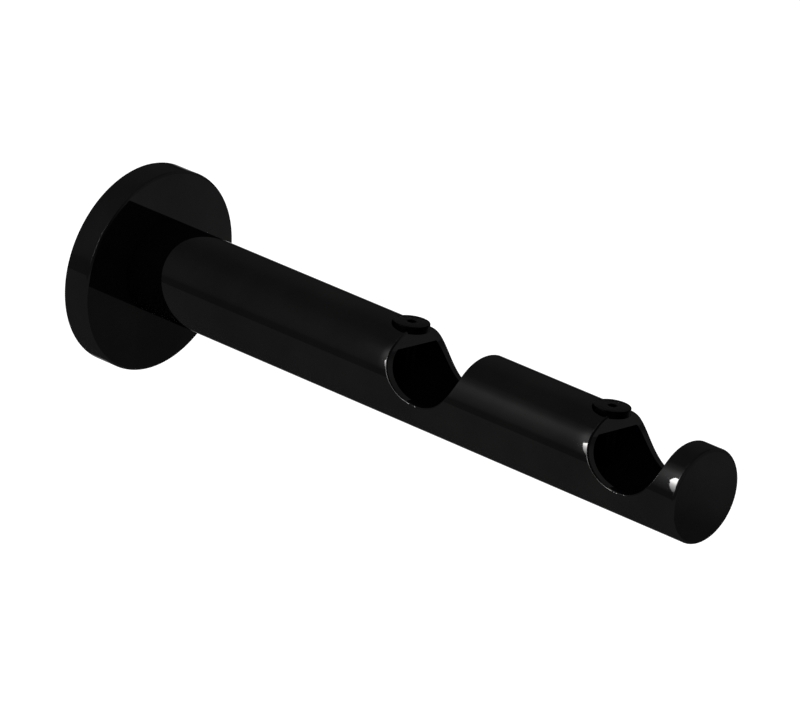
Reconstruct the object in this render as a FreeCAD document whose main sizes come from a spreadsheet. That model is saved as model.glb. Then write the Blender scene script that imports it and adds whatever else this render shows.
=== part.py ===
import FreeCAD, Part
import math
import os
import re

import Sketcher

# A double curtain pole bracket: a hollow cast arm stands out from a round wall rose and
# carries two poles, one behind the other, in round saddles open at the top. A flat headed
# screw behind each saddle grips the pole at its shoulder. Inside the rose a wall plate takes
# the wall screws, and its keyed spigot carries the arm, held by a grub screw from below.
# Frame: origin on the wall at the middle of the rose, the arm along -Y a little above it,
# the poles along X, up is +Z. All sizes are in millimetres.

document = FreeCAD.newDocument("curtain_pole_bracket")

# The driving sizes, with what each one measures.
driving_sizes = [
    ("pole_diameter", 20.0, "curtain pole that the saddles take"),
    ("pole_play", 0.5, "how much wider a saddle is than its pole"),
    ("rear_reach", 96.0, "wall to the middle of the rear saddle"),
    ("pole_spacing", 59.5, "rear saddle to front saddle"),
    ("seat_drop", 2.5, "lowest line of a saddle below the axis of the arm"),
    ("arm_diameter", 22.0, "outside of the arm"),
    ("arm_rise", 1.4, "axis of the arm above the middle of the rose"),
    ("arm_wall", 1.8, "wall of the arm beside and below its cavity"),
    ("crown", 4.4, "thick top of the arm, which takes the screw threads"),
    ("nose_length", 6.0, "front saddle's edge to the front end of the arm"),
    ("end_wall", 3.0, "closed front end of the arm"),
    ("rim_radius", 0.4, "rounding of the saddle rims"),
    ("end_radius", 0.7, "rounding of the front end"),
    ("rear_chamfer", 0.3, "bevel of the arm's rear end, at the rose"),
    ("rose_diameter", 48.0, "outside of the rose"),
    ("rose_depth", 7.0, "wall to the front face of the rose"),
    ("rose_wall", 1.5, "wall of the rose"),
    ("rose_radius", 0.6, "rounding of the rose's front edge"),
    ("rose_rim_radius", 0.3, "rounding of the rose's edge at the wall"),
    ("plate_thickness", 3.0, "disc of the wall plate"),
    ("plate_play", 0.3, "gap between the wall plate and the rose"),
    ("spigot_length", 18.0, "spigot inside the arm"),
    ("spigot_play", 0.15, "gap between the spigot and the cavity"),
    ("spigot_lead", 0.8, "bevel at the tip of the spigot"),
    ("wall_screw_hole", 4.5, "holes for the wall screws"),
    ("wall_screw_sink", 8.6, "countersinks of those holes"),
    ("thread_diameter", 4.0, "thread of the clamp screws and of the grub screw"),
    ("thread_play", 0.1, "gap between a thread and its hole"),
    ("screw_setback", 2.4, "saddle's rear wall to the axis of its clamp screw"),
    ("screw_length", 12.0, "clamp screw under its head"),
    ("head_diameter", 8.5, "head of a clamp screw"),
    ("head_thickness", 1.7, "height of that head"),
    ("head_proud", 0.4, "how far the head stands above the arm"),
    ("head_play", 0.15, "gap round the head in its spot face"),
    ("head_bevel", 0.15, "bevel of the head's edges"),
    ("hexagon", 2.0, "hexagon sockets, across flats"),
    ("socket_depth", 1.6, "depth of a clamp screw's socket"),
    ("grub_setback", 9.0, "rose to the axis of the grub screw"),
    ("grub_bite", 2.0, "how deep the grub screw's point sits in the spigot"),
    ("grub_sunk", 0.1, "how far the grub screw stays inside the arm"),
    ("grub_socket_depth", 1.8, "depth of the grub screw's socket"),
]

# Sizes that follow from the driving ones.
worked_out_sizes = [
    ("arm_outside", "arm_diameter / 2"),
    ("cavity_radius", "arm_outside - arm_wall"),
    ("ceiling", "arm_outside - crown"),
    ("saddle_radius", "(pole_diameter + pole_play) / 2"),
    ("saddle_height", "saddle_radius - seat_drop"),
    ("front_reach", "rear_reach + pole_spacing"),
    ("arm_reach", "front_reach + saddle_radius + nose_length"),
    ("rose_outside", "rose_diameter / 2"),
    ("rose_inside", "rose_outside - rose_wall"),
    ("rose_face_back", "rose_depth - rose_wall"),
    ("plate_radius", "rose_inside - plate_play"),
    ("spigot_radius", "cavity_radius - spigot_play"),
    ("spigot_flat", "ceiling - spigot_play"),
    ("spigot_reach", "rose_depth + spigot_length"),
    ("wall_screw_offset", "(arm_outside + plate_radius) / 2"),
    ("seat_height", "arm_outside + head_proud - head_thickness"),
    ("rear_screw_reach", "rear_reach - saddle_radius - screw_setback"),
    ("front_screw_reach", "rear_screw_reach + pole_spacing"),
    ("thread_hole", "thread_diameter + 2 * thread_play"),
    ("spot_diameter", "head_diameter + 2 * head_play"),
    ("grub_reach", "rose_depth + grub_setback"),
    ("grub_tip", "spigot_radius - grub_bite"),
    ("grub_end", "arm_outside - grub_sunk"),
]

sheet = document.addObject("Spreadsheet::Sheet", "Sizes")


def fill_row(row, alias, content, meaning):
    """One size: its name, its number or formula, and what it measures."""
    sheet.set("A%d" % row, alias)
    sheet.set("B%d" % row, content)
    sheet.set("C%d" % row, meaning)
    sheet.setAlias("B%d" % row, alias)


for index, (alias, number, meaning) in enumerate(driving_sizes):
    fill_row(index + 1, alias, str(number), meaning)
for index, (alias, formula) in enumerate(worked_out_sizes):
    fill_row(len(driving_sizes) + index + 1, alias, "=" + formula, "worked out")
document.recompute()
size_names = [entry[0] for entry in driving_sizes + worked_out_sizes]


def bound(formula):
    """A formula on size names, as an expression that reads the sheet."""

    def lookup(match):
        return "Sizes." + match.group() if match.group() in size_names else match.group()

    return re.sub(r"[a-z_]+", lookup, str(formula))


def now(formula):
    """What a formula on size names comes to at present, for first guesses and picking."""
    return float(sheet.evalExpression(bound(formula)))


def new_body(label):
    body = document.addObject("PartDesign::Body", label)
    body.Label = label
    return body


def origin_feature(body, role):
    return [item for item in body.Origin.OriginFeatures if item.Role == role][0]


def new_sketch(body, name, role, lift="0"):
    """A sketch on one of the body's own planes, lifted along that plane's normal."""
    sketch = body.newObject("Sketcher::SketchObject", name)
    sketch.AttachmentSupport = [(origin_feature(body, role), "")]
    sketch.MapMode = "FlatFace"
    sketch.setExpression(".AttachmentOffset.Base.z", bound(lift))
    return sketch


def place_point(sketch, geometry, point, across, up):
    """Holds one point of a sketch at formulas measured from its origin."""
    for kind, formula in (("DistanceX", across), ("DistanceY", up)):
        index = sketch.addConstraint(
            Sketcher.Constraint(kind, -1, 1, geometry, point, now(formula))
        )
        sketch.setExpression("Constraints[%d]" % index, bound(formula))


def draw_outline(sketch, corners):
    """A closed outline of straight lines, each corner held at its two formulas."""
    points = [FreeCAD.Vector(now(across), now(up), 0) for across, up in corners]
    for index, start in enumerate(points):
        end = points[(index + 1) % len(points)]
        sketch.addGeometry(Part.LineSegment(start, end), False)
    for index, (across, up) in enumerate(corners):
        following = (index + 1) % len(corners)
        sketch.addConstraint(Sketcher.Constraint("Coincident", index, 2, following, 1))
        place_point(sketch, index, 1, across, up)


def draw_circle(sketch, across, up, diameter):
    centre = FreeCAD.Vector(now(across), now(up), 0)
    circle = Part.Circle(centre, FreeCAD.Vector(0, 0, 1), now(diameter) / 2)
    geometry = sketch.addGeometry(circle, False)
    place_point(sketch, geometry, 3, across, up)
    index = sketch.addConstraint(Sketcher.Constraint("Diameter", geometry, now(diameter)))
    sketch.setExpression("Constraints[%d]" % index, bound(diameter))


def draw_keyed_circle(sketch, radius, flat):
    """A circle about the arm's axis, cut off by a level flat above the axis."""
    level = now(flat)
    reach = now(radius)
    start = math.pi - math.asin(level / reach)
    end = 2 * math.pi + math.asin(level / reach)
    upright = FreeCAD.Vector(0, 0, 1)
    circle = Part.Circle(FreeCAD.Vector(0, 0, 0), upright, reach)
    arc = sketch.addGeometry(Part.ArcOfCircle(circle, start, end), False)
    side = math.sqrt(reach * reach - level * level)
    right = FreeCAD.Vector(side, level, 0)
    left = FreeCAD.Vector(-side, level, 0)
    line = sketch.addGeometry(Part.LineSegment(right, left), False)
    sketch.addConstraint(Sketcher.Constraint("Coincident", arc, 3, -1, 1))
    sketch.addConstraint(Sketcher.Constraint("Coincident", arc, 2, line, 1))
    sketch.addConstraint(Sketcher.Constraint("Coincident", line, 2, arc, 1))
    sketch.addConstraint(Sketcher.Constraint("Horizontal", line))
    index = sketch.addConstraint(Sketcher.Constraint("Radius", arc, reach))
    sketch.setExpression("Constraints[%d]" % index, bound(radius))
    index = sketch.addConstraint(Sketcher.Constraint("DistanceY", -1, 1, line, 1, level))
    sketch.setExpression("Constraints[%d]" % index, bound(flat))


def draw_saddle(sketch, reach, height, radius, top):
    """A round seat with upright walls above it, open past the top of the arm."""
    middle = FreeCAD.Vector(now("-" + reach), now(height), 0)
    half = now(radius)
    upright = FreeCAD.Vector(0, 0, 1)
    seat = Part.ArcOfCircle(Part.Circle(middle, upright, half), math.pi, 2 * math.pi)
    arc = sketch.addGeometry(seat, False)
    front = FreeCAD.Vector(middle.x - half, middle.y, 0)
    rear = FreeCAD.Vector(middle.x + half, middle.y, 0)
    rise = FreeCAD.Vector(0, now(top) - middle.y, 0)
    rear_wall = sketch.addGeometry(Part.LineSegment(rear, rear + rise), False)
    mouth = sketch.addGeometry(Part.LineSegment(rear + rise, front + rise), False)
    front_wall = sketch.addGeometry(Part.LineSegment(front + rise, front), False)
    for first, second in ((arc, rear_wall), (rear_wall, mouth), (mouth, front_wall)):
        sketch.addConstraint(Sketcher.Constraint("Coincident", first, 2, second, 1))
    sketch.addConstraint(Sketcher.Constraint("Coincident", front_wall, 2, arc, 1))
    sketch.addConstraint(Sketcher.Constraint("Vertical", rear_wall))
    sketch.addConstraint(Sketcher.Constraint("Vertical", front_wall))
    sketch.addConstraint(Sketcher.Constraint("Horizontal", arc, 1, arc, 3))
    sketch.addConstraint(Sketcher.Constraint("Horizontal", arc, 2, arc, 3))
    place_point(sketch, arc, 3, "-" + reach, height)
    index = sketch.addConstraint(Sketcher.Constraint("Radius", arc, half))
    sketch.setExpression("Constraints[%d]" % index, bound(radius))
    sketch.addConstraint(Sketcher.Constraint("Horizontal", mouth))
    index = sketch.addConstraint(Sketcher.Constraint("DistanceY", -1, 1, mouth, 1, now(top)))
    sketch.setExpression("Constraints[%d]" % index, bound(top))


def draw_hexagon(sketch, across_flats):
    """A regular hexagon about the sketch's origin."""
    half = across_flats + " / 2"
    corner = across_flats + " / 3 ^ 0.5"
    draw_outline(sketch, [
        (corner, "0"),
        (corner + " / 2", half),
        ("-" + corner + " / 2", half),
        ("-" + corner, "0"),
        ("-" + corner + " / 2", "-" + half),
        (corner + " / 2", "-" + half),
    ])


def add_pad(body, name, sketch, length):
    pad = body.newObject("PartDesign::Pad", name)
    pad.Profile = sketch
    pad.setExpression("Length", bound(length))
    return pad


def add_pocket(body, name, sketch, length, forward=False):
    """A cut to a depth, behind the sketch, or ahead of it along its normal."""
    pocket = body.newObject("PartDesign::Pocket", name)
    pocket.Profile = sketch
    pocket.Reversed = forward
    pocket.setExpression("Length", bound(length))
    return pocket


def add_turned(body, name, sketch, axis_role):
    turned = body.newObject("PartDesign::Revolution", name)
    turned.Profile = sketch
    turned.ReferenceAxis = (origin_feature(body, axis_role), [""])
    turned.Angle = 360
    return turned


def repeat_forward(body, name, features):
    """The same features once more, at the front pole."""
    pattern = body.newObject("PartDesign::LinearPattern", name)
    pattern.Originals = features
    pattern.Direction = (origin_feature(body, "Y_Axis"), [""])
    pattern.Reversed = True
    pattern.Occurrences = 2
    pattern.setExpression("Length", bound("pole_spacing"))
    body.Tip = pattern
    return pattern


def edges_where(feature, test):
    """The names of a feature's edges that pass a test on points along them."""
    names = []
    for index, edge in enumerate(feature.Shape.Edges):
        points = edge.discretize(Number=7)
        if test(edge, points):
            names.append("Edge%d" % (index + 1))
    return names


def dress_edges(body, kind, name, feature, names, radius):
    """A fillet or chamfer on the named edges of the feature before it."""
    dressed = body.newObject("PartDesign::" + kind, name)
    dressed.Base = (feature, names)
    dressed.setExpression("Radius" if kind == "Fillet" else "Size", bound(radius))
    return dressed


def circle_at(reach, radius):
    """A test for full circles about the arm's axis, at a reach and a radius."""
    wanted_reach = now(reach)
    wanted_radius = now(radius)

    def test(edge, points):
        return all(
            abs(-point.y - wanted_reach) < 0.001
            and abs(math.hypot(point.x, point.z) - wanted_radius) < 0.001
            for point in points
        )

    return test


def make_rose():
    """The cover: a shallow turned cup, open to the wall, with a hole for the spigot."""
    body = new_body("rose")
    sketch = new_sketch(body, "rose_section", "XY_Plane")
    draw_outline(sketch, [
        ("0", "-rose_depth"),
        ("rose_outside", "-rose_depth"),
        ("rose_outside", "0"),
        ("rose_inside", "0"),
        ("rose_inside", "-rose_face_back"),
        ("0", "-rose_face_back"),
    ])
    cup = add_turned(body, "rose_cup", sketch, "Y_Axis")
    document.recompute()
    front = edges_where(cup, circle_at("rose_depth", "rose_outside"))
    front_edge = dress_edges(body, "Fillet", "rose_front_edge", cup, front, "rose_radius")
    document.recompute()
    rim = edges_where(front_edge, circle_at("0", "rose_outside"))
    dress_edges(body, "Fillet", "rose_wall_edge", front_edge, rim, "rose_rim_radius")
    place = new_sketch(body, "spigot_place", "XZ_Plane", "rose_depth")
    draw_circle(place, "0", "arm_rise", "2 * cavity_radius")
    add_pocket(body, "spigot_opening", place, "rose_depth")
    return body


def make_wall_plate():
    """A cast disc with a hub behind the rose's face and a keyed spigot into the arm.

    It is drawn about the arm's axis, so the disc sits lower by the arm's rise.
    """
    body = new_body("wall_plate")
    disc_sketch = new_sketch(body, "disc_outline", "XZ_Plane")
    draw_circle(disc_sketch, "0", "-arm_rise", "2 * plate_radius")
    add_pad(body, "disc", disc_sketch, "plate_thickness")
    hub_sketch = new_sketch(body, "hub_outline", "XZ_Plane", "plate_thickness")
    draw_circle(hub_sketch, "0", "0", "arm_diameter")
    add_pad(body, "hub", hub_sketch, "rose_face_back - plate_thickness")
    spigot_sketch = new_sketch(body, "spigot_outline", "XZ_Plane", "rose_face_back")
    draw_keyed_circle(spigot_sketch, "spigot_radius", "spigot_flat")
    spigot = add_pad(body, "spigot", spigot_sketch, "spigot_reach - rose_face_back")
    document.recompute()
    tip_reach = now("spigot_reach")

    def at_tip(edge, points):
        return all(abs(-point.y - tip_reach) < 0.001 for point in points)

    tip = edges_where(spigot, at_tip)
    dress_edges(body, "Chamfer", "spigot_lead_in", spigot, tip, "spigot_lead")
    document.recompute()

    hole_sketch = new_sketch(body, "wall_screw_places", "XZ_Plane", "plate_thickness")
    draw_circle(hole_sketch, "wall_screw_offset", "-arm_rise", "wall_screw_hole")
    draw_circle(hole_sketch, "-wall_screw_offset", "-arm_rise", "wall_screw_hole")
    document.recompute()
    holes = body.newObject("PartDesign::Hole", "wall_screw_holes")
    holes.Profile = hole_sketch
    holes.DepthType = "ThroughAll"
    holes.HoleCutType = "Countersink"
    holes.HoleCutCustomValues = True
    holes.setExpression("Diameter", bound("wall_screw_hole"))
    holes.setExpression("HoleCutDiameter", bound("wall_screw_sink"))
    holes.HoleCutCountersinkAngle = 90
    document.recompute()

    dimple_sketch = new_sketch(body, "grub_dimple_section", "YZ_Plane")
    draw_outline(dimple_sketch, [
        ("-grub_reach", "-grub_tip + thread_play"),
        ("-grub_reach - thread_diameter", "-grub_tip + thread_play - thread_diameter"),
        ("-grub_reach", "-grub_tip + thread_play - thread_diameter"),
    ])
    dimple = body.newObject("PartDesign::Groove", "grub_dimple")
    dimple.Profile = dimple_sketch
    dimple.ReferenceAxis = (dimple_sketch, ["Edge3"])
    dimple.Angle = 360
    body.setExpression(".Placement.Base.z", bound("arm_rise"))
    return body


def make_arm():
    """The cast arm: round outside, a cavity with a flat ceiling, and two saddles on top.

    It is drawn about its own axis and then lifted by its rise.
    """
    body = new_body("arm")
    outline = new_sketch(body, "arm_outline", "XZ_Plane", "rose_depth")
    draw_circle(outline, "0", "0", "arm_diameter")
    add_pad(body, "arm_round", outline, "arm_reach - rose_depth")
    hollow = new_sketch(body, "cavity_outline", "XZ_Plane", "rose_depth")
    draw_keyed_circle(hollow, "cavity_radius", "ceiling")
    cavity_length = "arm_reach - rose_depth - end_wall"
    add_pocket(body, "cavity", hollow, cavity_length, forward=True)

    side = new_sketch(body, "saddle_outline", "YZ_Plane")
    draw_saddle(side, "rear_reach", "saddle_height", "saddle_radius", "2 * arm_diameter")
    saddle = body.newObject("PartDesign::Pocket", "saddle")
    saddle.Profile = side
    saddle.SideType = "Symmetric"
    saddle.setExpression("Length", bound("2 * arm_diameter"))
    saddles = repeat_forward(body, "both_saddles", [saddle])
    document.recompute()

    surface = now("arm_outside")
    nearest = now("rear_reach - saddle_radius")
    farthest = now("front_reach + saddle_radius")

    def on_saddle_rim(edge, points):
        outside = all(abs(math.hypot(p.x, p.z) - surface) < 0.001 for p in points)
        return outside and all(nearest - 0.001 < -p.y < farthest + 0.001 for p in points)

    rims = edges_where(saddles, on_saddle_rim)
    rounded = dress_edges(body, "Fillet", "saddle_rims", saddles, rims, "rim_radius")
    document.recompute()
    nose = edges_where(rounded, circle_at("arm_reach", "arm_outside"))
    rounded = dress_edges(body, "Fillet", "front_end_edge", rounded, nose, "end_radius")
    document.recompute()
    rear = edges_where(rounded, circle_at("rose_depth", "arm_outside"))
    dress_edges(body, "Chamfer", "rear_end_edge", rounded, rear, "rear_chamfer")

    spot = new_sketch(body, "spot_face_outline", "XY_Plane", "seat_height")
    draw_circle(spot, "0", "-rear_screw_reach", "spot_diameter")
    spot_face = add_pocket(body, "spot_face", spot, "arm_diameter", forward=True)
    thread = new_sketch(body, "thread_outline", "XY_Plane", "seat_height")
    draw_circle(thread, "0", "-rear_screw_reach", "thread_hole")
    thread_hole = add_pocket(body, "thread_hole", thread, "seat_height")
    repeat_forward(body, "both_screw_places", [spot_face, thread_hole])

    below = new_sketch(body, "grub_hole_outline", "XY_Plane", "-arm_diameter")
    draw_circle(below, "0", "-grub_reach", "thread_hole")
    add_pocket(body, "grub_hole", below, "arm_diameter", forward=True)
    body.setExpression(".Placement.Base.z", bound("arm_rise"))
    return body


def add_socket(body, name, top, depth):
    """A hexagon socket that goes down from a level."""
    sketch = new_sketch(body, name + "_outline", "XY_Plane", top)
    draw_hexagon(sketch, "hexagon")
    return add_pocket(body, name, sketch, depth)


def make_clamp_screw(label, reach):
    """A flat headed screw, modelled with its head resting on the level z = 0."""
    body = new_body(label)
    section = new_sketch(body, label + "_section", "XZ_Plane")
    draw_outline(section, [
        ("0", "-screw_length"),
        ("thread_diameter / 2 - 2 * head_bevel", "-screw_length"),
        ("thread_diameter / 2", "-screw_length + 2 * head_bevel"),
        ("thread_diameter / 2", "0"),
        ("head_diameter / 2 - head_bevel", "0"),
        ("head_diameter / 2", "head_bevel"),
        ("head_diameter / 2", "head_thickness - head_bevel"),
        ("head_diameter / 2 - head_bevel", "head_thickness"),
        ("0", "head_thickness"),
    ])
    add_turned(body, label + "_turned", section, "Z_Axis")
    add_socket(body, label + "_socket", "head_thickness", "socket_depth")
    body.setExpression(".Placement.Base.y", bound("-" + reach))
    body.setExpression(".Placement.Base.z", bound("arm_rise + seat_height"))
    return body


def make_grub_screw():
    """A headless screw under the arm, its cone in the spigot and its socket downward."""
    body = new_body("grub_screw")
    section = new_sketch(body, "grub_section", "XZ_Plane")
    draw_outline(section, [
        ("0", "-grub_end"),
        ("thread_diameter / 2", "-grub_end"),
        ("thread_diameter / 2", "-grub_tip - thread_diameter / 2"),
        ("0", "-grub_tip"),
    ])
    add_turned(body, "grub_turned", section, "Z_Axis")
    sketch = new_sketch(body, "grub_socket_outline", "XY_Plane", "-grub_end")
    draw_hexagon(sketch, "hexagon")
    add_pocket(body, "grub_socket", sketch, "grub_socket_depth", forward=True)
    body.setExpression(".Placement.Base.y", bound("-grub_reach"))
    body.setExpression(".Placement.Base.z", bound("arm_rise"))
    return body


pieces = [
    make_rose(),
    make_wall_plate(),
    make_arm(),
    make_clamp_screw("rear_clamp_screw", "rear_screw_reach"),
    make_clamp_screw("front_clamp_screw", "front_screw_reach"),
    make_grub_screw(),
]
document.recompute()

for item in document.Objects:
    if "Invalid" in item.State or "Error" in item.State:
        raise RuntimeError("%s did not recompute: %s" % (item.Label, item.State))
for piece in pieces:
    if piece.Shape.isNull() or not piece.Shape.isValid():
        raise RuntimeError("%s has no valid shape" % piece.Label)
    if len(piece.Shape.Solids) != 1:
        raise RuntimeError("%s is not one solid" % piece.Label)

os.makedirs("parts", exist_ok=True)
for piece in pieces:
    piece.Shape.exportStep("parts/%s.step" % piece.Label)
    box = piece.Shape.BoundBox
    print(
        "%-18s volume %9.1f  x %7.2f %7.2f  y %8.2f %7.2f  z %7.2f %7.2f"
        % (
            piece.Label, piece.Shape.Volume,
            box.XMin, box.XMax, box.YMin, box.YMax, box.ZMin, box.ZMax,
        )
    )
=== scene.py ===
# %% [markdown]
# # A double curtain pole bracket in black nickel
#
# The real bracket is a hollow round arm, cast in zinc alloy and plated in polished black
# nickel, on a round rose that hides the wall plate. Two curtain poles lie in the round
# saddles, and a flat headed screw beside each saddle grips its pole.
#
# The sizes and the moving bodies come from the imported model. This lesson gives that model
# its light, its finishes, and threads on the two clamp screws.

# %% Load the model
import math

import bmesh
import bpy
from mathutils import Matrix, Vector


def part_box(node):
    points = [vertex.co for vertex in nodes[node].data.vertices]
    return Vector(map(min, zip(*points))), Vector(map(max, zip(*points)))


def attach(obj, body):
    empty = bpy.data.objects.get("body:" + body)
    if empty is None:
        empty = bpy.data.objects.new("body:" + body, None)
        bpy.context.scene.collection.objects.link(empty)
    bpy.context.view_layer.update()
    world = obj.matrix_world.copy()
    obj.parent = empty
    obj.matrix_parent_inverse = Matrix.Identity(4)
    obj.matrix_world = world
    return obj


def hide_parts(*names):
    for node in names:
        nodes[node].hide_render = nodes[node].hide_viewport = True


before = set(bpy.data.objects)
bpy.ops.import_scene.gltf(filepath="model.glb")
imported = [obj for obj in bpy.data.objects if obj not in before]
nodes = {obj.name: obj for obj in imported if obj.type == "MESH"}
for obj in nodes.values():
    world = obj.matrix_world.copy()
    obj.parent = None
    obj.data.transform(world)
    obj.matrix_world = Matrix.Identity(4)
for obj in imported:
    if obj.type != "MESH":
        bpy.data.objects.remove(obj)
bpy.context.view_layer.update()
mm = 0.001
print("pieces in the model:", ", ".join(sorted(nodes)))

# %% [markdown]
# ## The camera
#
# A small product is photographed from far away with a long lens, so that its parallel edges
# stay nearly parallel. The photographer stood to the left of the bracket's front end, a
# little above it, and held the camera tilted by some 7 degrees. The camera is placed by its
# three directions: right, up and back. Blender's camera looks along its own -Z, so these
# are the columns of its matrix.

# %% Place the camera
right = Vector((0.66868, -0.732705, 0.126529)).normalized()
up = Vector((0.162899, 0.310394, 0.936546))
back = right.cross(up).normalized()
up = back.cross(right)
camera_spot = Vector((-1209.152, -1090.702, 548.961)) * mm

camera_data = bpy.data.cameras.new("camera")
camera_data.sensor_fit = "HORIZONTAL"
camera_data.sensor_width = 36.0
camera_data.lens = 336.44
camera_data.clip_start = 0.05
camera_data.clip_end = 50.0
camera = bpy.data.objects.new("camera", camera_data)
turn = Matrix((right, up, back)).transposed().to_4x4()
camera.matrix_world = Matrix.Translation(camera_spot) @ turn
scene = bpy.context.scene
scene.collection.objects.link(camera)
scene.camera = camera
scene.view_settings.view_transform = "Standard"
print("camera stands %.2f m from the bracket" % camera_spot.length)


# %% [markdown]
# ## Node helpers
#
# Every finish below is a small network of nodes. Short helpers keep the code close to how
# one talks about it: start a material, add a node with these values, join this output to
# that input. Effects that are used more than once are node groups, and a material adds
# such a group like a node.

# %% Node helpers
white = (1.0, 1.0, 1.0, 1.0)
# A colour Mix node has its colour inputs and its colour output at these places.
mix_from, mix_to, mix_result = 6, 7, 2


def new_material(name):
    """An empty material and its node tree."""
    material = bpy.data.materials.new(name)
    material.use_nodes = True
    material.node_tree.nodes.clear()
    return material, material.node_tree


def add_node(tree, kind, inputs=None, **settings):
    """Adds a node, with its settings and the values of its unlinked inputs."""
    node = tree.nodes.new(kind)
    for name, value in settings.items():
        setattr(node, name, value)
    for name, value in (inputs or {}).items():
        node.inputs[name].default_value = value
    return node


def join(tree, source, output, target, entry):
    """Joins an output of one node to an input of another."""
    tree.links.new(source.outputs[output], target.inputs[entry])


def set_stops(ramp_node, stops):
    """Gives a colour ramp its stops, as pairs of a position and a grey value."""
    ramp = ramp_node.color_ramp
    while len(ramp.elements) < len(stops):
        ramp.elements.new(0.5)
    for element, (position, grey) in zip(ramp.elements, stops):
        element.position = position
        element.color = (grey, grey, grey, 1.0)


def new_group(name, inputs, outputs):
    """A node group with named inputs and outputs."""
    group = bpy.data.node_groups.new(name, "ShaderNodeTree")
    for label, kind, value in inputs:
        socket = group.interface.new_socket(label, in_out="INPUT", socket_type=kind)
        if value is not None:
            socket.default_value = value
    for label, kind in outputs:
        group.interface.new_socket(label, in_out="OUTPUT", socket_type=kind)
    return group, group.nodes.new("NodeGroupInput"), group.nodes.new("NodeGroupOutput")


def use_group(tree, group, values):
    """Adds a node group to a tree, with the values of its unlinked inputs."""
    node = tree.nodes.new("ShaderNodeGroup")
    node.node_tree = group
    for name, value in values.items():
        node.inputs[name].default_value = value
    return node


print("node helpers are ready")

# %% [markdown]
# ## The room
#
# Polished metal has hardly a look of its own: it shows the room. The room here is pale all
# round. At eye level it is darker, where a studio's floor ends before its wall begins, and
# that gives the long dark line along the side of the arm. Towards the zenith it darkens
# softly. The camera itself sees the room as plain white.

# %% Light the room
world = bpy.data.worlds.new("pale_room")
scene.world = world
world.use_nodes = True
room = world.node_tree
room.nodes.clear()
direction = add_node(room, "ShaderNodeTexCoord")
split = add_node(room, "ShaderNodeSeparateXYZ")
height = add_node(room, "ShaderNodeMapRange", {"From Min": -1.0, "From Max": 1.0})
ramp = add_node(room, "ShaderNodeValToRGB")
set_stops(ramp, [
    (0.0, 0.6), (0.50, 0.56), (0.525, 0.62), (0.55, 0.83), (0.60, 0.93), (0.71, 0.92),
    (0.77, 0.86), (0.83, 0.78), (0.865, 0.68), (0.89, 0.60), (1.0, 0.6),
])
path = add_node(room, "ShaderNodeLightPath")
seen = add_node(room, "ShaderNodeMix", {mix_to: white}, data_type="RGBA")
glow = add_node(room, "ShaderNodeBackground", {"Strength": 1.0})
output = add_node(room, "ShaderNodeOutputWorld")
join(room, direction, "Generated", split, "Vector")
join(room, split, "Z", height, "Value")
join(room, height, "Result", ramp, "Fac")
join(room, path, "Is Camera Ray", seen, "Factor")
join(room, ramp, "Color", seen, mix_from)
join(room, seen, mix_result, glow, "Color")
join(room, glow, "Background", output, "Surface")
print("the room has", len(ramp.color_ramp.elements), "bands of brightness")

# %% [markdown]
# ## The floor
#
# A plain pale floor lies well below the bracket, so its soft shadow falls clear of it. For
# the camera a little glow of its own brings it to white, and where the shadow falls it is
# still darker. In reflections it is pale too, but for a painted shadow on its far right: a
# grey strip that stands in for the bracket's own shadow on a table close under it. The rose's
# face and the arm's end face are turned that way, and they mirror the strip's edges. Two
# colour ramps draw this painted shadow, one across the floor and one for its nearest corner.

# %% Lay the floor
floor_level = -0.30
half_width = 1.42
floor_mesh = bpy.data.meshes.new("floor")
sheet = bmesh.new()
bmesh.ops.create_grid(sheet, x_segments=1, y_segments=1, size=half_width)
bmesh.ops.translate(sheet, verts=sheet.verts, vec=(0.0, -0.1, floor_level))
sheet.to_mesh(floor_mesh)
sheet.free()
floor = bpy.data.objects.new("floor", floor_mesh)
scene.collection.objects.link(floor)

paper, tree = new_material("pale_floor")
matt = add_node(tree, "ShaderNodeBsdfDiffuse", {"Color": (0.8, 0.8, 0.8, 1.0)})
path = add_node(tree, "ShaderNodeLightPath")
lift = add_node(tree, "ShaderNodeMath", {1: 0.5}, operation="MULTIPLY")
lit = add_node(tree, "ShaderNodeEmission", {"Color": white})
both = add_node(tree, "ShaderNodeAddShader")
spot = add_node(tree, "ShaderNodeTexCoord")
across = add_node(tree, "ShaderNodeSeparateXYZ")
# Painted shadow: a darker strip on the floor's right, seen only in reflections.
shade_strip = add_node(tree, "ShaderNodeValToRGB")
set_stops(shade_strip, [
    (0.0, 1.0), (0.25, 1.0), (0.35, 0.47), (0.643, 0.47), (0.66, 0.80), (0.688, 1.1),
])
nearness = add_node(tree, "ShaderNodeMapRange", {"From Min": -0.711, "From Max": -0.735})
shade_corner = add_node(tree, "ShaderNodeValToRGB")
set_stops(shade_corner, [(0.0, 0.47), (0.15, 0.6), (0.39, 0.73), (0.70, 0.9), (1.0, 1.0)])
pale = add_node(tree, "ShaderNodeMath", operation="MAXIMUM")
mirrored = add_node(tree, "ShaderNodeEmission", {"Color": white})
mixed = add_node(tree, "ShaderNodeMixShader")
output = add_node(tree, "ShaderNodeOutputMaterial")
join(tree, path, "Is Camera Ray", lift, 0)
join(tree, lift, "Value", lit, "Strength")
join(tree, matt, "BSDF", both, 0)
join(tree, lit, "Emission", both, 1)
join(tree, spot, "Object", across, "Vector")
join(tree, across, "X", shade_strip, "Fac")
join(tree, across, "Y", nearness, "Value")
join(tree, nearness, "Result", shade_corner, "Fac")
join(tree, shade_strip, "Color", pale, 0)
join(tree, shade_corner, "Color", pale, 1)
join(tree, pale, "Value", mirrored, "Strength")
join(tree, path, "Is Glossy Ray", mixed, "Fac")
join(tree, both, "Shader", mixed, 1)
join(tree, mirrored, "Emission", mixed, 2)
join(tree, mixed, "Shader", output, "Surface")
floor_mesh.materials.append(paper)
print("the floor is %.0f mm below the middle of the rose" % (-floor_level / mm))

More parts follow.
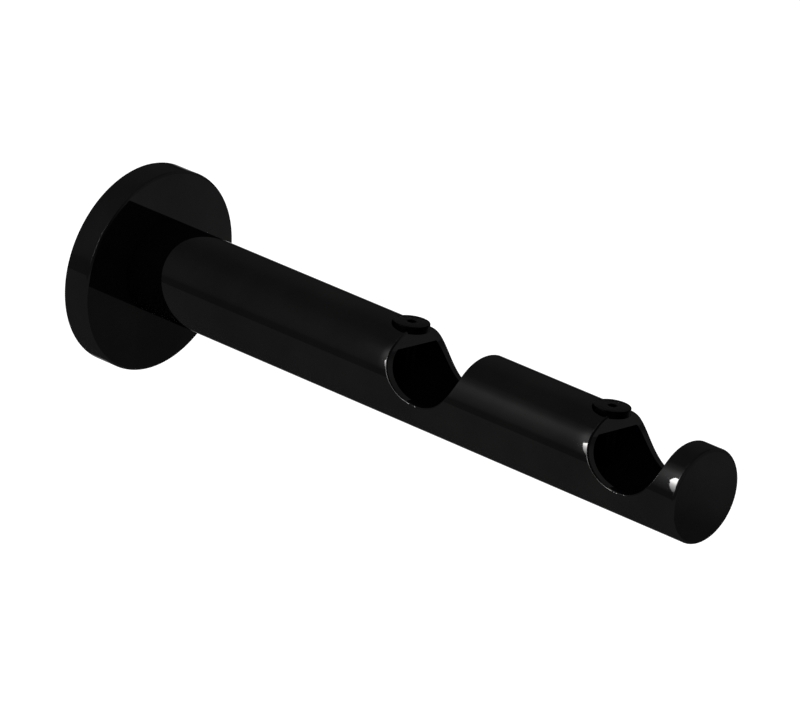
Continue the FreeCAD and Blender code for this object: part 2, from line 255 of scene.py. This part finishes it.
# %% [markdown]
# ## The key lamp
#
# One large soft lamp in front and above gives the floor and every matt surface a plain
# level of light. The polished metal doesn't mirror it: its reflections have cards of their
# own. A lamp's power is its brightness times pi times its area.

# %% Hang the key lamp
key_brightness = 4.5
key_data = bpy.data.lights.new("key_lamp", "AREA")
key_data.size = 0.8
key_data.energy = key_brightness * math.pi * key_data.size ** 2
key_lamp = bpy.data.objects.new("key_lamp", key_data)
key_lamp.location = (-0.5, -0.9, 0.95)
aim = Vector((0.0, -0.09, 0.0)) - key_lamp.location
key_lamp.rotation_euler = aim.to_track_quat("-Z", "Y").to_euler()
key_lamp.visible_camera = False
key_lamp.visible_glossy = False
scene.collection.objects.link(key_lamp)
print("the key lamp hangs %.2f m from the bracket" % aim.length)

# %% [markdown]
# ## Cards of light
#
# A product photographer draws with light: a bright card goes where the metal will mirror
# it. Along the arm, every point at the same distance from the wall mirrors the same ring
# about the arm's axis. So the cards here are parts of rings, upright and nearly level with
# the wall, where the rose hardly mirrors them. A card's inner edge draws the outline of a
# glint: one at each saddle's rim and one at the arm's end. Only rounded rims are turned far
# enough to mirror the large far card, which gives them a thin bright line. A black flag
# hangs level with the arm's end, a little above it, and draws the dark line beside.

# %% Cut the cards
card_plane = 3 * mm
haze_plane = 3.5 * mm
flag_plane = -172 * mm
axis_height = 1.4 * mm
haze_start, haze_end = 113, 262
rows_per_stop = 8


def hang_card(name, mesh):
    """Puts a card on the stage, where only reflections see it."""
    card = bpy.data.objects.new(name, mesh)
    card.visible_camera = False
    card.visible_diffuse = False
    card.visible_shadow = False
    scene.collection.objects.link(card)
    return card


def cut_card(name, stops):
    """Part of a ring. A stop is an angle up from -X and the ring's two radii there, in mm."""
    sheet = bmesh.new()
    rows = []
    for (start, *first), (end, *second) in zip(stops, stops[1:]):
        for step in range(rows_per_stop + 1):
            part = step / rows_per_stop
            angle = math.radians(start + (end - start) * part)
            rows.append([
                sheet.verts.new((-radius * math.cos(angle), card_plane,
                                 axis_height + radius * math.sin(angle)))
                for radius in (mm * (a + (b - a) * part) for a, b in zip(first, second))
            ])
    for lower, upper in zip(rows, rows[1:]):
        sheet.faces.new((lower[0], lower[1], upper[1], upper[0]))
    bmesh.ops.remove_doubles(sheet, verts=sheet.verts, dist=1e-6)
    mesh = bpy.data.meshes.new(name)
    sheet.to_mesh(mesh)
    sheet.free()
    return hang_card(name, mesh)


rear_card = cut_card("rear_card", [
    (5, 128.4, 134), (14, 127.6, 134), (22, 127.1, 134), (25, 127.1, 134), (28, 128, 134),
    (36, 129, 133), (44, 130, 132.5),
])
front_card = cut_card("front_card", [
    (5, 218.4, 229), (11, 217.0, 229), (16, 216.4, 229), (25, 215.7, 229),
    (28, 215.7, 229), (30.5, 217.2, 229), (35, 219, 229),
])
nose_card = cut_card("nose_card", [
    (6, 260.9, 268), (12, 259.5, 268), (19, 258.7, 268), (27.5, 257.7, 268),
    (29.5, 258.5, 268), (34, 259.6, 268), (37, 260.6, 268),
])
far_card = cut_card("far_card", [
    (0, 420, 1500), (8, 380, 1500), (14, 320, 1500), (20, 320, 700), (36, 320, 520),
    (60, 380, 520), (78, 400, 560),
])
haze_card = cut_card("haze_card", [(0, haze_start, 300), (70, haze_start, 300)])
haze_card.location.y = haze_plane - card_plane

flag_mesh = bpy.data.meshes.new("black_flag")
sheet = bmesh.new()
sheet.faces.new([
    sheet.verts.new((x * mm, flag_plane, z * mm))
    for x, z in ((-260, 14), (10, 14), (10, 260), (-260, 260))
])
sheet.to_mesh(flag_mesh)
sheet.free()
hang_card("black_flag", flag_mesh)
print("the cards stand %.0f mm behind the wall's face" % (card_plane / mm))

# %% [markdown]
# All bright cards are lit by one rule. A node group tells for each point of a card its
# radius and its angle in the ring, and colour ramps turn these into light. The haze card
# lets through what it doesn't add to.

# %% Light the cards
ring_place, entry, result = new_group(
    "ring_place",
    [("Vector", "NodeSocketVector", None)],
    [("Radius", "NodeSocketFloat"), ("Angle", "NodeSocketFloat")],
)
split = add_node(ring_place, "ShaderNodeSeparateXYZ")
rise = add_node(ring_place, "ShaderNodeMath", {1: axis_height}, operation="SUBTRACT")
left = add_node(ring_place, "ShaderNodeMath", {1: -1.0}, operation="MULTIPLY")
flat = add_node(ring_place, "ShaderNodeCombineXYZ")
radius = add_node(ring_place, "ShaderNodeVectorMath", operation="LENGTH")
angle = add_node(ring_place, "ShaderNodeMath", operation="ARCTAN2")
join(ring_place, entry, "Vector", split, "Vector")
join(ring_place, split, "Z", rise, 0)
join(ring_place, split, "X", left, 0)
join(ring_place, left, "Value", flat, "X")
join(ring_place, rise, "Value", flat, "Z")
join(ring_place, flat, "Vector", radius, 0)
join(ring_place, rise, "Value", angle, 0)
join(ring_place, left, "Value", angle, 1)
join(ring_place, radius, "Value", result, "Radius")
join(ring_place, angle, "Value", result, "Angle")


def light_card(card, strength, by_angle, last_angle, by_radius=None):
    """Gives a card its light by angle and, for the haze card, also by radius."""
    material, tree = new_material(card.name + "_light")
    where = add_node(tree, "ShaderNodeTexCoord")
    ring = use_group(tree, ring_place, {})
    around = add_node(tree, "ShaderNodeMapRange", {"From Max": math.radians(last_angle)})
    angle_ramp = add_node(tree, "ShaderNodeValToRGB")
    set_stops(angle_ramp, [(angle / last_angle, share) for angle, share in by_angle])
    amount = add_node(tree, "ShaderNodeMath", {1: strength}, operation="MULTIPLY")
    light = add_node(tree, "ShaderNodeEmission", {"Color": white})
    output = add_node(tree, "ShaderNodeOutputMaterial")
    join(tree, where, "Object", ring, "Vector")
    join(tree, ring, "Angle", around, "Value")
    join(tree, around, "Result", angle_ramp, "Fac")
    join(tree, angle_ramp, "Color", amount, 0)
    join(tree, amount, "Value", light, "Strength")
    join(tree, light, "Emission", output, "Surface")
    if by_radius:
        outward = add_node(tree, "ShaderNodeMapRange", {
            "From Min": haze_start * mm, "From Max": haze_end * mm,
        })
        radius_ramp = add_node(tree, "ShaderNodeValToRGB")
        set_stops(radius_ramp, [
            ((radius - haze_start) / (haze_end - haze_start), share)
            for radius, share in by_radius
        ])
        product = add_node(tree, "ShaderNodeMath", operation="MULTIPLY")
        clear = add_node(tree, "ShaderNodeBsdfTransparent")
        both = add_node(tree, "ShaderNodeAddShader")
        join(tree, ring, "Radius", outward, "Value")
        join(tree, outward, "Result", radius_ramp, "Fac")
        join(tree, amount, "Value", product, 0)
        join(tree, radius_ramp, "Color", product, 1)
        join(tree, product, "Value", light, "Strength")
        join(tree, clear, "BSDF", both, 0)
        join(tree, light, "Emission", both, 1)
        join(tree, both, "Shader", output, "Surface")
    card.data.materials.append(material)


glint = [(7, 0.08), (10, 0.15), (14, 0.23), (18, 0.33), (22, 0.48), (27, 0.87)]
light_card(rear_card, 150.0, glint + [(29, 0.6), (44, 0.5)], 50.0)
for card in (front_card, nose_card):
    light_card(card, 150.0, glint + [(32, 1.0)], 40.0)
light_card(far_card, 60.0, [
    (2, 0.05), (7, 0.12), (11, 0.4), (16, 0.6), (25, 0.7), (36, 0.5), (45, 0.2),
    (55, 0.1), (70, 0.07),
], 80.0)
light_card(haze_card, 5.0, [
    (1.4, 0.0), (14, 0.2), (19.6, 0.35), (26, 0.55), (31.5, 0.8), (38, 1.0), (44, 1.0),
    (50, 0.6), (56, 0.25), (68, 0.0),
], 70.0, [
    (113, 0.0), (122, 0.08), (125, 0.15), (127, 0.9), (156, 0.9), (158, 0.29), (211, 0.32),
    (213.5, 0.45), (216, 1.0), (248, 1.0), (250.5, 0.6), (257, 0.8), (262, 1.0),
])

black, tree = new_material("flag_cloth")
dim = add_node(tree, "ShaderNodeEmission", {"Color": white, "Strength": 0.12})
output = add_node(tree, "ShaderNodeOutputMaterial")
join(tree, dim, "Emission", output, "Surface")
flag_mesh.materials.append(black)
print("four cards draw lines and glints, and the haze card softens them")

# %% [markdown]
# ## Shared effects
#
# Plating follows the polished casting under it, and polishing leaves two things: a faint
# waviness a few millimetres across, which makes straight reflections run a little
# unevenly, and very fine lines in the direction of the wheel. Both are made once, as node
# groups, and each metal takes them with its own values.

# %% Make the shared effects
fine_lines, entry, result = new_group(
    "polishing_lines",
    [("Vector", "NodeSocketVector", None), ("Across", "NodeSocketFloat", 6000.0),
     ("Along", "NodeSocketFloat", 60.0), ("Low", "NodeSocketFloat", 0.05),
     ("High", "NodeSocketFloat", 0.12)],
    [("Roughness", "NodeSocketFloat"), ("Lines", "NodeSocketFloat")],
)
stretch = add_node(fine_lines, "ShaderNodeCombineXYZ")
scaled = add_node(fine_lines, "ShaderNodeVectorMath", operation="MULTIPLY")
lines = add_node(fine_lines, "ShaderNodeTexNoise", {"Scale": 1.0, "Detail": 3.0})
smudge = add_node(fine_lines, "ShaderNodeTexNoise", {"Scale": 90.0, "Detail": 4.0})
blend = add_node(fine_lines, "ShaderNodeMath", operation="MULTIPLY")
level = add_node(fine_lines, "ShaderNodeMapRange", {"From Min": 0.15, "From Max": 0.4})
join(fine_lines, entry, "Across", stretch, "X")
join(fine_lines, entry, "Along", stretch, "Y")
join(fine_lines, entry, "Across", stretch, "Z")
join(fine_lines, entry, "Vector", scaled, 0)
join(fine_lines, stretch, "Vector", scaled, 1)
join(fine_lines, scaled, "Vector", lines, "Vector")
join(fine_lines, entry, "Vector", smudge, "Vector")
join(fine_lines, lines, "Fac", blend, 0)
join(fine_lines, smudge, "Fac", blend, 1)
join(fine_lines, blend, "Value", level, "Value")
join(fine_lines, entry, "Low", level, "To Min")
join(fine_lines, entry, "High", level, "To Max")
join(fine_lines, level, "Result", result, "Roughness")
join(fine_lines, lines, "Fac", result, "Lines")

mottle, entry, result = new_group(
    "mottled_colour",
    [("Vector", "NodeSocketVector", None), ("Scale", "NodeSocketFloat", 40.0),
     ("Dark", "NodeSocketColor", (0.0, 0.0, 0.0, 1.0)),
     ("Light", "NodeSocketColor", (1.0, 1.0, 1.0, 1.0))],
    [("Color", "NodeSocketColor"), ("Fac", "NodeSocketFloat")],
)
cloud = add_node(mottle, "ShaderNodeTexNoise", {"Detail": 5.0, "Roughness": 0.6})
spread = add_node(mottle, "ShaderNodeMapRange", {"From Min": 0.3, "From Max": 0.7})
tint = add_node(mottle, "ShaderNodeMix", data_type="RGBA")
join(mottle, entry, "Vector", cloud, "Vector")
join(mottle, entry, "Scale", cloud, "Scale")
join(mottle, cloud, "Fac", spread, "Value")
join(mottle, spread, "Result", tint, "Factor")
join(mottle, entry, "Dark", tint, mix_from)
join(mottle, entry, "Light", tint, mix_to)
join(mottle, tint, mix_result, result, "Color")
join(mottle, spread, "Result", result, "Fac")
print("shared effects:", fine_lines.name, "and", mottle.name)


# %% [markdown]
# ## Finishes
#
# Black nickel is a metal, so it is mirror like, yet it gives back only a hundredth of the
# light that falls on it. Metals brighten where one looks along them, and a dark one would
# end in a white rim, so the edge tint takes that brightening off again. Let s be 0 where
# the surface faces the eye and 1 where it is seen edge on: the tint that does it is
# 1 - 0.12 / (s (1 - s)). The waviness goes in as a bump of a few thousandths of a
# millimetre.

# %% Black nickel
brightening = 0.1202


def start_metal(name, metallic, bump_distance, bump_strength):
    """A material with object coordinates, a metal shader and a bump that feeds it."""
    material, tree = new_material(name)
    where = add_node(tree, "ShaderNodeTexCoord")
    metal = add_node(tree, "ShaderNodeBsdfPrincipled", {
        "Metallic": metallic, "Specular IOR Level": 0.0,
    })
    bump = add_node(tree, "ShaderNodeBump", {
        "Distance": bump_distance,
        "Strength": bump_strength,
    })
    output = add_node(tree, "ShaderNodeOutputMaterial")
    join(tree, bump, "Normal", metal, "Normal")
    join(tree, metal, "BSDF", output, "Surface")
    return material, tree, where, metal, bump


def darken_edges(tree, metal):
    """Holds a dark metal's reflection at one level, but for its outermost edge."""
    slant = add_node(tree, "ShaderNodeLayerWeight", {"Blend": 0.5})
    face_on = add_node(tree, "ShaderNodeMath", {0: 1.0}, operation="SUBTRACT")
    product = add_node(tree, "ShaderNodeMath", operation="MULTIPLY")
    share = add_node(tree, "ShaderNodeMath", {0: brightening}, operation="DIVIDE")
    tint = add_node(tree, "ShaderNodeMath", {0: 1.0}, operation="SUBTRACT", use_clamp=True)
    join(tree, slant, "Facing", face_on, 1)
    join(tree, slant, "Facing", product, 0)
    join(tree, face_on, "Value", product, 1)
    join(tree, product, "Value", share, 1)
    join(tree, share, "Value", tint, 1)
    join(tree, tint, "Value", metal, "Specular Tint")


black_nickel, tree, where, metal, bump = start_metal("black_nickel_plate", 0.9, 3e-6, 1.0)
darken_edges(tree, metal)
colour = use_group(tree, mottle, {
    "Scale": 55.0,
    "Dark": (0.0072, 0.0071, 0.0072, 1.0),
    "Light": (0.0098, 0.0095, 0.0093, 1.0),
})
polish = use_group(tree, fine_lines, {
    "Across": 5000.0, "Along": 40.0, "Low": 0.008, "High": 0.022,
})
waves = add_node(tree, "ShaderNodeTexNoise", {"Scale": 130.0, "Detail": 1.0})
for target in (colour, polish, waves):
    join(tree, where, "Object", target, "Vector")
join(tree, colour, "Color", metal, "Base Color")
join(tree, polish, "Roughness", metal, "Roughness")
join(tree, waves, "Fac", bump, "Height")
for name in ("arm", "rose"):
    nodes[name].data.materials[0] = black_nickel
print("black nickel is on the arm and the rose")

# %% [markdown]
# The screws are steel with a black oxide skin, which is a little duller than the plating,
# and their turned heads keep the fine rings of the lathe. The rings are a wave texture in
# rings about the screw's own axis, so a Mapping node first brings that axis to the middle.
# The head's rim is painted blacker than its top: a painted shade that keeps the side of the
# head dark.

# %% Blackened steel
def make_blackened_steel(name, axis_y):
    """The steel of one screw, whose axis stands at x = 0 and y = axis_y."""
    material, tree, where, metal, bump = start_metal(name, 0.95, 4e-6, 0.6)
    darken_edges(tree, metal)
    centred = add_node(tree, "ShaderNodeMapping", {"Location": (0.0, -axis_y, 0.0)})
    rings = add_node(tree, "ShaderNodeTexWave", {
        "Scale": 900.0, "Distortion": 1.2, "Detail": 2.0,
    }, wave_type="RINGS", rings_direction="Z")
    colour = use_group(tree, mottle, {
        "Scale": 700.0,
        "Dark": (0.0015, 0.0015, 0.0016, 1.0),
        "Light": (0.0027, 0.0026, 0.0025, 1.0),
    })
    rough = add_node(tree, "ShaderNodeMapRange", {"To Min": 0.26, "To Max": 0.40})
    level = add_node(tree, "ShaderNodeVectorMath", {1: (1.0, 1.0, 0.0)}, operation="MULTIPLY")
    radius = add_node(tree, "ShaderNodeVectorMath", operation="LENGTH")
    # Painted shade: beyond 4.05 mm from the axis the colour falls to a quarter, so the head's
    # side stays dark.
    rim = add_node(tree, "ShaderNodeMapRange", {
        "From Min": 4.05 * mm, "From Max": 4.2 * mm, "To Min": 1.0, "To Max": 0.25,
    })
    shade = add_node(tree, "ShaderNodeVectorMath", operation="SCALE")
    join(tree, where, "Object", centred, "Vector")
    for target in (rings, colour):
        join(tree, centred, "Vector", target, "Vector")
    join(tree, centred, "Vector", level, 0)
    join(tree, level, "Vector", radius, 0)
    join(tree, radius, "Value", rim, "Value")
    join(tree, colour, "Color", shade, 0)
    join(tree, rim, "Result", shade, "Scale")
    join(tree, shade, "Vector", metal, "Base Color")
    join(tree, colour, "Fac", rough, "Value")
    join(tree, rough, "Result", metal, "Roughness")
    join(tree, rings, "Fac", bump, "Height")
    return material


screw_axes = {}
for name in ("rear_clamp_screw", "front_clamp_screw", "grub_screw"):
    low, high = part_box(name)
    screw_axes[name] = (low.y + high.y) / 2
    nodes[name].data.materials[0] = make_blackened_steel(name + "_steel", screw_axes[name])
print("screw axes at y =", {name: round(y / mm, 2) for name, y in screw_axes.items()})

# %% [markdown]
# The wall plate hides in the rose and was never polished: it keeps the grey, grainy skin
# that zinc alloy has straight out of the die.

# %% Cast zinc
cast_zinc, tree, where, metal, bump = start_metal("cast_zinc_skin", 1.0, 3e-5, 0.7)
colour = use_group(tree, mottle, {
    "Scale": 160.0, "Dark": (0.30, 0.31, 0.33, 1.0), "Light": (0.52, 0.53, 0.55, 1.0),
})
grain = add_node(tree, "ShaderNodeTexNoise", {"Scale": 1400.0, "Detail": 6.0})
rough = add_node(tree, "ShaderNodeMapRange", {"To Min": 0.38, "To Max": 0.6})
for target in (colour, grain):
    join(tree, where, "Object", target, "Vector")
join(tree, colour, "Color", metal, "Base Color")
join(tree, colour, "Fac", rough, "Value")
join(tree, rough, "Result", metal, "Roughness")
join(tree, grain, "Fac", bump, "Height")
nodes["wall_plate"].data.materials[0] = cast_zinc
print("cast zinc is on the wall plate")

# %% [markdown]
# ## The clamp screws
#
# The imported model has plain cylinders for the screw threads. Here each clamp screw is made
# again with a real thread. The head is a profile spun about the screw's axis, with a
# hexagon socket let into it. Head and thread are made in millimetres round the origin, with
# the head's underside at height 0, and brought to their place in the mesh.

# %% The screw's head
head_radius = 4.25
head_height = 1.7
head_bevel = 0.16
ring_radius = 1.7
neck_radius = 1.75
neck_length = 0.7
hexagon_radius = 2.0 / math.sqrt(3.0)
socket_depth = 1.6


def spin_profile(mesh, points, steps=64):
    """Spins a line of points, given as radius and height, once about the Z axis."""
    verts = [mesh.verts.new((radius, 0.0, z)) for radius, z in points]
    edges = [mesh.edges.new(pair) for pair in zip(verts, verts[1:])]
    bmesh.ops.spin(
        mesh, geom=verts + edges, cent=(0.0, 0.0, 0.0), axis=(0.0, 0.0, 1.0),
        angle=2.0 * math.pi, steps=steps, use_merge=True,
    )


def make_head():
    """The head with its bevelled edges and its socket, and the neck under it."""
    mesh = bmesh.new()
    spin_profile(mesh, [
        (ring_radius, head_height), (head_radius, head_height), (head_radius, 0.0),
        (neck_radius, 0.0), (neck_radius, -neck_length),
    ])
    round_edges = [
        edge for edge in mesh.edges
        if all(abs(math.hypot(v.co.x, v.co.y) - head_radius) < 0.01 for v in edge.verts)
        and abs(edge.verts[0].co.z - edge.verts[1].co.z) < 0.01
    ]
    bmesh.ops.bevel(
        mesh, geom=round_edges, offset=head_bevel, affect="EDGES", segments=3, profile=0.5,
        material=-1,
    )
    inner = [
        edge for edge in mesh.edges
        if edge.is_boundary and edge.verts[0].co.z > head_height - 0.01
    ]
    hexagon = bmesh.ops.create_circle(mesh, segments=6, radius=hexagon_radius)["verts"]
    bmesh.ops.rotate(mesh, verts=hexagon, matrix=Matrix.Rotation(math.radians(30), 3, "Z"))
    bmesh.ops.translate(mesh, verts=hexagon, vec=(0.0, 0.0, head_height))
    brim = list({edge for vert in hexagon for edge in vert.link_edges})
    bmesh.ops.bridge_loops(mesh, edges=inner + brim)
    walls = bmesh.ops.extrude_edge_only(mesh, edges=brim)["geom"]
    bottom = [item for item in walls if isinstance(item, bmesh.types.BMVert)]
    bmesh.ops.translate(mesh, verts=bottom, vec=(0.0, 0.0, -socket_depth))
    bmesh.ops.holes_fill(mesh, edges=[edge for edge in mesh.edges if edge.is_boundary])
    return mesh


trial = make_head()
print("a head has %d faces, open edges: %d" % (
    len(trial.faces), sum(edge.is_boundary for edge in trial.edges)))
trial.free()

# %% [markdown]
# The thread is one small tooth, spun some sixteen turns while it rises by one pitch a turn,
# so each turn's lower edge meets the upper edge of the next. It is made a little too long,
# cut off square at both ends, and closed there. The upper end hides in the neck. At the
# lower end the tooth is turned down to a point, as on a real screw.

# %% The screw's thread
pitch = 0.7
crest_radius = 2.0
root_radius = 1.6
point_radius = 1.45
screw_length = 12.0
steps_per_turn = 48
neck_overlap = 0.05


def add_thread(mesh):
    """The threaded shank under the neck, closed at both ends."""
    shank = bmesh.new()
    tooth = [
        (root_radius, 0.0), (root_radius, 0.09), (crest_radius, 0.30),
        (crest_radius, 0.40), (root_radius, 0.61), (root_radius, pitch),
    ]
    verts = [shank.verts.new((radius, 0.0, z)) for radius, z in tooth]
    edges = [shank.edges.new(pair) for pair in zip(verts, verts[1:])]
    turns = int(screw_length / pitch) + 2
    bmesh.ops.spin(
        shank, geom=verts + edges, cent=(0.0, 0.0, 0.0), axis=(0.0, 0.0, 1.0),
        dvec=(0.0, 0.0, pitch / steps_per_turn), angle=2.0 * math.pi * turns,
        steps=steps_per_turn * turns,
    )
    bmesh.ops.remove_doubles(shank, verts=shank.verts, dist=0.002)
    bmesh.ops.translate(shank, verts=shank.verts, vec=(0.0, 0.0, -screw_length - pitch))
    for level, side in ((-neck_length + neck_overlap, 1.0), (-screw_length, -1.0)):
        geometry = list(shank.verts) + list(shank.edges) + list(shank.faces)
        bmesh.ops.bisect_plane(
            shank, geom=geometry, plane_co=(0.0, 0.0, level), plane_no=(0.0, 0.0, side),
            clear_outer=True,
        )
        rim = [edge for edge in shank.edges
               if edge.is_boundary and all(abs(v.co.z - level) < 0.01 for v in edge.verts)]
        bmesh.ops.holes_fill(shank, edges=rim)
    for vert in shank.verts:
        rise = vert.co.z + screw_length
        limit = point_radius + max(rise, 0.0)
        radius = math.hypot(vert.co.x, vert.co.y)
        if radius > limit:
            vert.co.x *= limit / radius
            vert.co.y *= limit / radius
    extra = bpy.data.meshes.new("thread")
    shank.to_mesh(extra)
    shank.free()
    mesh.from_mesh(extra)
    bpy.data.meshes.remove(extra)


print("a thread has about %.0f turns" % ((screw_length - neck_length) / pitch))


# %% [markdown]
# Each threaded screw takes the place of its plain one and rides on the same moving body, so
# it lifts out of the arm as the joint does.

# %% Put the clamp screws in place
def make_clamp_screw(node_name, body):
    """One threaded screw, in the place of the plain one, riding on its body."""
    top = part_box(node_name)[1].z
    mesh = make_head()
    add_thread(mesh)
    bmesh.ops.recalc_face_normals(mesh, faces=mesh.faces)
    bmesh.ops.scale(mesh, verts=mesh.verts, vec=(mm, mm, mm))
    seat = Vector((0.0, screw_axes[node_name], top - head_height * mm))
    bmesh.ops.translate(mesh, verts=mesh.verts, vec=seat)
    data = bpy.data.meshes.new(node_name + "_threaded")
    mesh.to_mesh(data)
    mesh.free()
    data.polygons.foreach_set("use_smooth", [True] * len(data.polygons))
    data.set_sharp_from_angle(angle=math.radians(32))
    data.materials.append(nodes[node_name].data.materials[0])
    screw = bpy.data.objects.new(data.name, data)
    scene.collection.objects.link(screw)
    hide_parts(node_name)
    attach(screw, body)
    return screw


for side in ("rear", "front"):
    screw = make_clamp_screw(side + "_clamp_screw", side + "_screw")
    print(screw.name, "has", len(screw.data.polygons), "faces")

# %% [markdown]
# ## The end
#
# The last cell prints that the bracket is dressed.

# %% Finish
print("the bracket is dressed")
